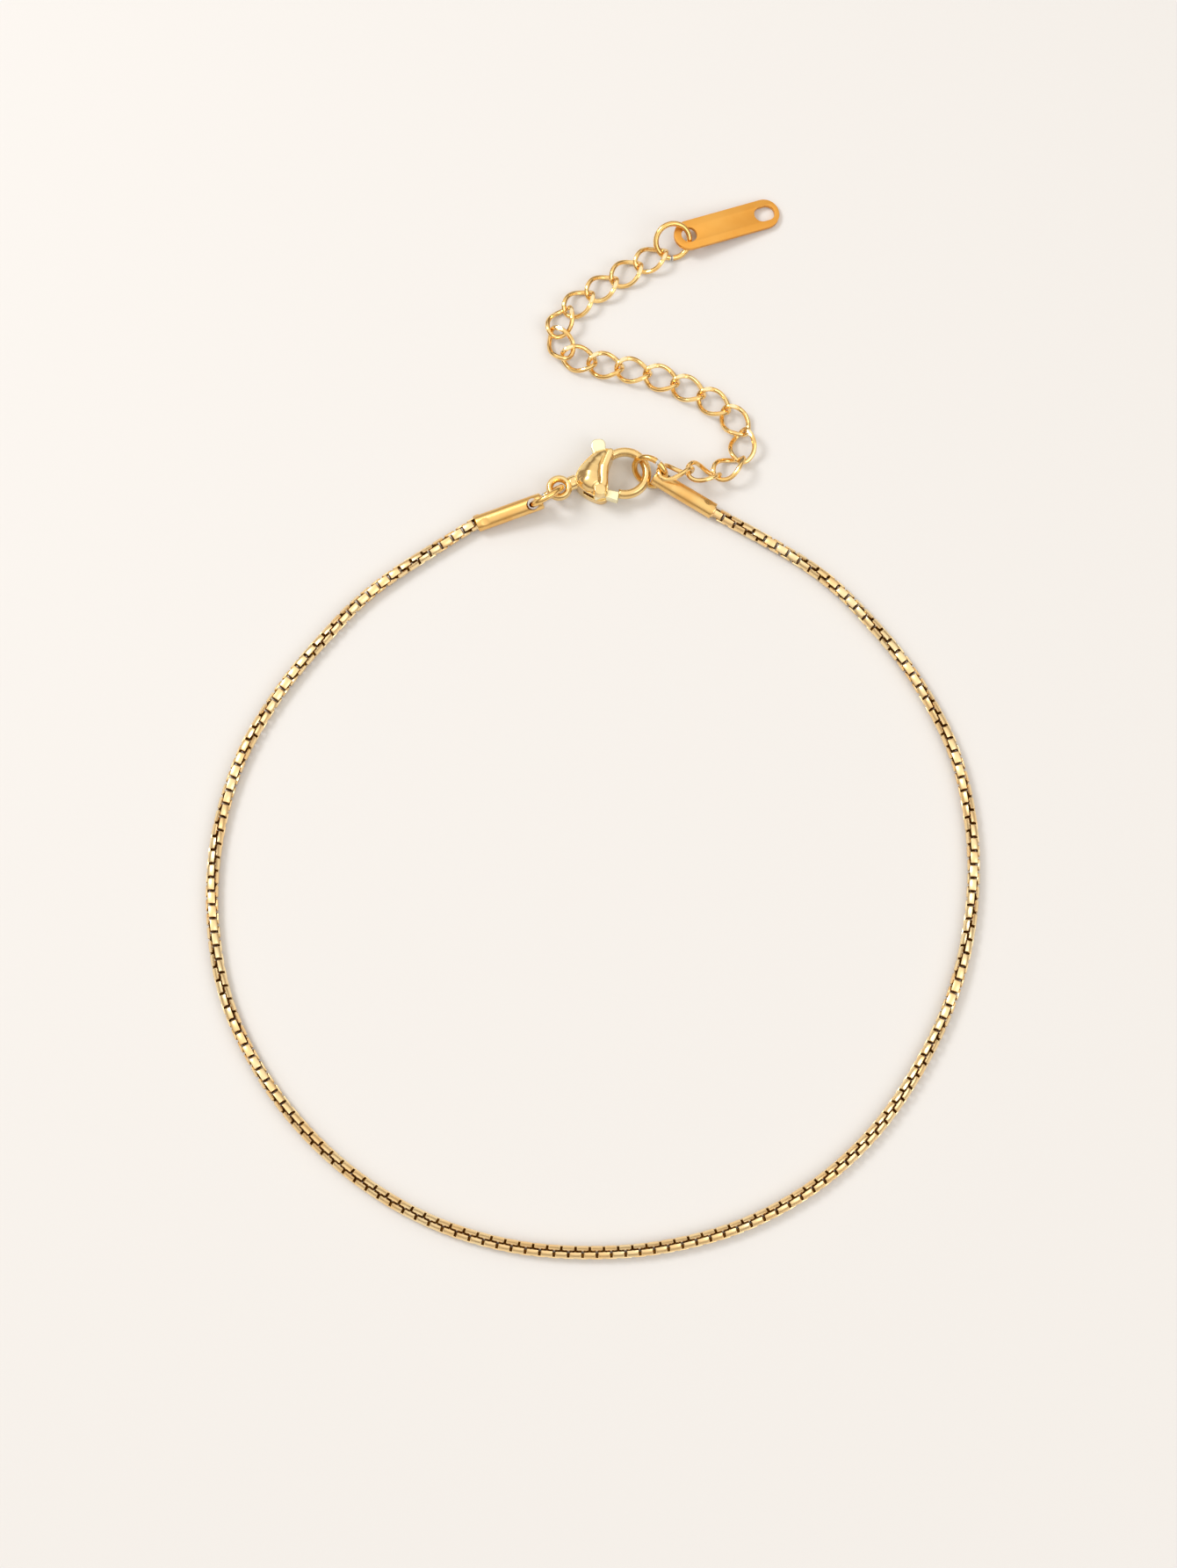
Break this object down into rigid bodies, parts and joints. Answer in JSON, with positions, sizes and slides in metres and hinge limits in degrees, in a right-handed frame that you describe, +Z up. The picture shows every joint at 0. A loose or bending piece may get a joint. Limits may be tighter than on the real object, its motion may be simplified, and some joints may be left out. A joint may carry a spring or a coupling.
{
  "type": "chain anklet",
  "caption": "Round box chain anklet lying as an open loop, with tube end caps, a lobster clasp with a sprung lever, and a curb link extender that ends in a flat tag.",
  "frame": {"origin": "middle of the whole lying anklet's box, on the table", "axes": "+Z up from the table, +Y from the middle of the loop's far side past the clasp towards the tag, +X to the right with the clasp at the far side"},
  "size_m": [0.0752, 0.1072, 0.0038],
  "materials": {
    "chain_gold": "polished gold plate over steel",
    "ring_gold": "polished gold plate over steel",
    "link_gold": "polished, one side diamond-cut",
    "cap_gold": "satin",
    "clasp_gold": "polished",
    "lever_gold": "polished",
    "tag_gold": "satin"
  },
  "bodies": {
    "anklet": {"clasp_body": "clasp_gold", "end_cap_left": "cap_gold", "end_cap_right": "cap_gold", "extender_link_01": "link_gold", "extender_link_02": "link_gold", "extender_link_03": "link_gold", "extender_link_04": "link_gold", "extender_link_05": "link_gold", "extender_link_06": "link_gold", "extender_link_07": "link_gold", "extender_link_08": "link_gold", "extender_link_09": "link_gold", "extender_link_10": "link_gold", "extender_link_11": "link_gold", "extender_link_12": "link_gold", "extender_link_13": "link_gold", "extender_link_14": "link_gold", "extender_link_15": "link_gold", "extender_link_16": "link_gold", "extender_link_17": "link_gold", "jump_ring_left": "ring_gold", "jump_ring_right": "ring_gold", "jump_ring_tag": "ring_gold", "main_chain": "chain_gold", "tag": "tag_gold"},
    "lever": {"clasp_lever": "lever_gold"}
  },
  "joints": [
    {"name": "lever_pivot", "type": "hinge", "parent": "anklet", "child": "lever", "pos_m": [0.00068, 0.02157, 0.0015], "axis": [0, 0, 1], "range_deg": [0, 25], "stiffness_Nm_per_rad": 0.012, "springref_deg": -20.05}
  ]
}
